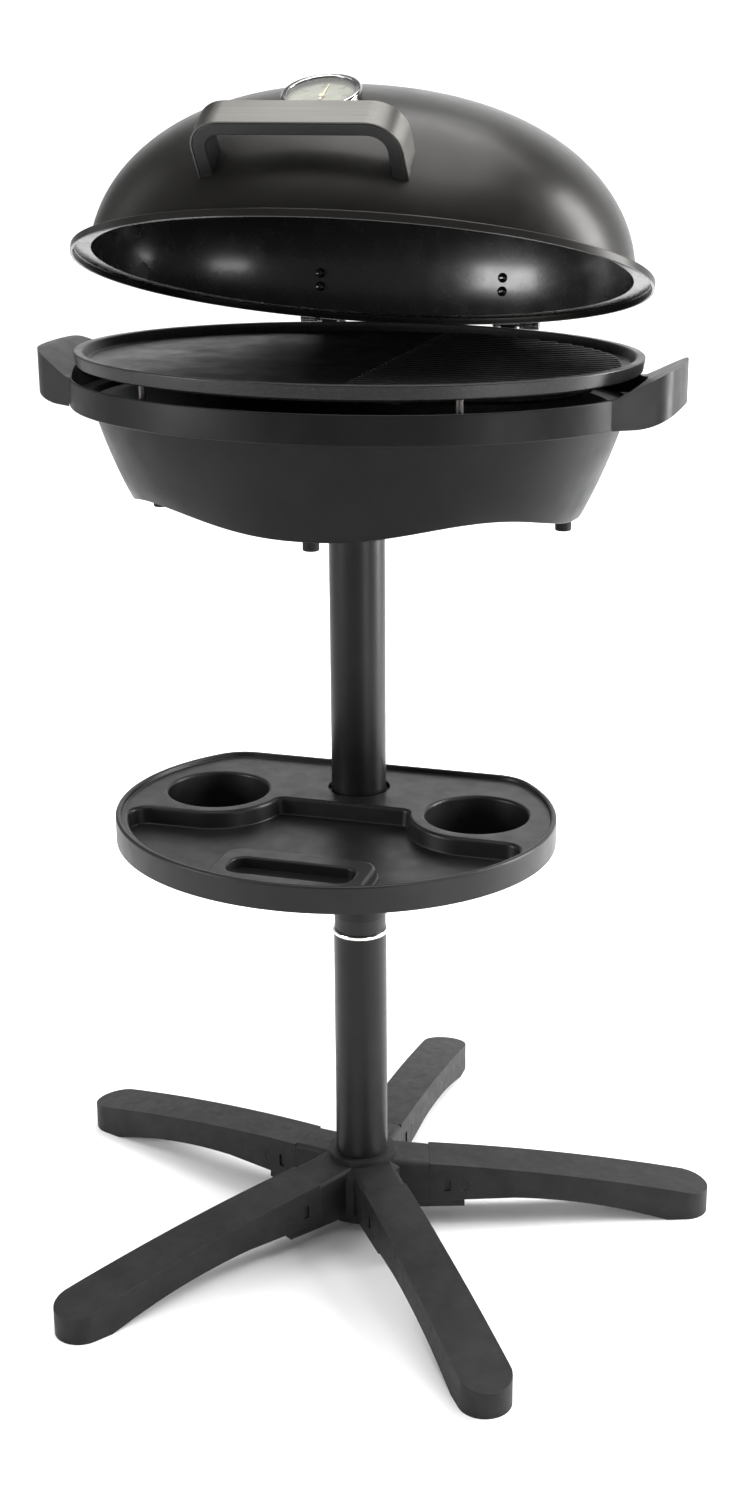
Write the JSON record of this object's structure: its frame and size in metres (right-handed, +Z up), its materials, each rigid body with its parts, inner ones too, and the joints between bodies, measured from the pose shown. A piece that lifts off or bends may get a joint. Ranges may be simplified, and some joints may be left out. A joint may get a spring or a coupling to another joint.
{
  "type": "electric barbecue grill on a stand",
  "caption": "Free-standing electric barbecue grill: star base, column with shelf tray, oval bowl with a heated plate and a hinged domed lid with handle and thermometer.",
  "frame": {"origin": "on the column's axis at floor level", "axes": "+X to the user's right, +Y to the rear where the lid's hinges are, +Z up"},
  "size_m": [0.6538, 0.6242, 1.075],
  "materials": {
    "base_plastic": "moulded, faintly mottled",
    "tube_paint": "satin powder coat",
    "bright_ring": "polished",
    "sleeve_plastic": "moulded",
    "tray_plastic": "moulded satin",
    "bowl_plastic": "moulded satin",
    "handle_plastic": "moulded fine grain",
    "foot_rubber": "matt",
    "plate_coating": "cast, dark non-stick coating",
    "steel_wire": "heat-tinted",
    "bare_aluminium": "rolled sheet",
    "lid_enamel": "semi-gloss graphite enamel",
    "brushed_strip": "brushed along its length",
    "bezel_chrome": "polished",
    "dial_paint": "pale matt",
    "needle_paint": "white",
    "dial_glass": "clear",
    "hinge_steel": "black",
    "screw_steel": "zinc"
  },
  "bodies": {
    "stand": {"base_hub": "base_plastic", "lower_tube": "tube_paint", "upper_tube": "tube_paint", "joint_ring": "bright_ring", "joint_sleeve": "sleeve_plastic", "shelf_tray": "tray_plastic", "tray_screw": "screw_steel", "bowl": "bowl_plastic", "bowl_feet": "foot_rubber", "bowl_socket": "sleeve_plastic", "socket_screws": "screw_steel", "left_handle": "handle_plastic", "right_handle": "handle_plastic", "side_handle_screws": "screw_steel", "grill_plate": "plate_coating", "plate_feet": "sleeve_plastic", "heating_element": "steel_wire", "element_clips": "screw_steel", "reflector": "bare_aluminium", "drip_tray": "bare_aluminium", "inlet_housing": "sleeve_plastic", "inlet_pins": "steel_wire", "left_hinge_bracket": "hinge_steel", "right_hinge_bracket": "hinge_steel", "left_hinge_pin": "bright_ring", "right_hinge_pin": "bright_ring", "bracket_screws": "screw_steel", "leg_1": "base_plastic", "leg_2": "base_plastic", "leg_3": "base_plastic", "leg_4": "base_plastic", "leg_5": "base_plastic"},
    "lid_assembly": {"lid": "lid_enamel", "lid_handle": "handle_plastic", "handle_trim": "brushed_strip", "lid_handle_screws": "screw_steel", "thermometer_case": "bezel_chrome", "thermometer_dial": "dial_paint", "thermometer_glass": "dial_glass", "thermometer_bezel": "bezel_chrome", "thermometer_nut": "screw_steel", "left_hinge_leaf": "hinge_steel", "right_hinge_leaf": "hinge_steel", "hinge_screws": "hinge_steel"},
    "needle": {"thermometer_needle": "needle_paint"}
  },
  "joints": [
    {"name": "lid_hinge", "type": "hinge", "parent": "stand", "child": "lid_assembly", "pos_m": [0, 0.204, 0.8485], "axis": [-1, 0, 0], "range_deg": [-19, 66]},
    {"name": "needle_turn", "type": "hinge", "parent": "lid_assembly", "child": "needle", "pos_m": [0, -0.08177, 1.05582], "axis": [0, -0.3809, 0.9246], "range_deg": [-178, 58]}
  ]
}
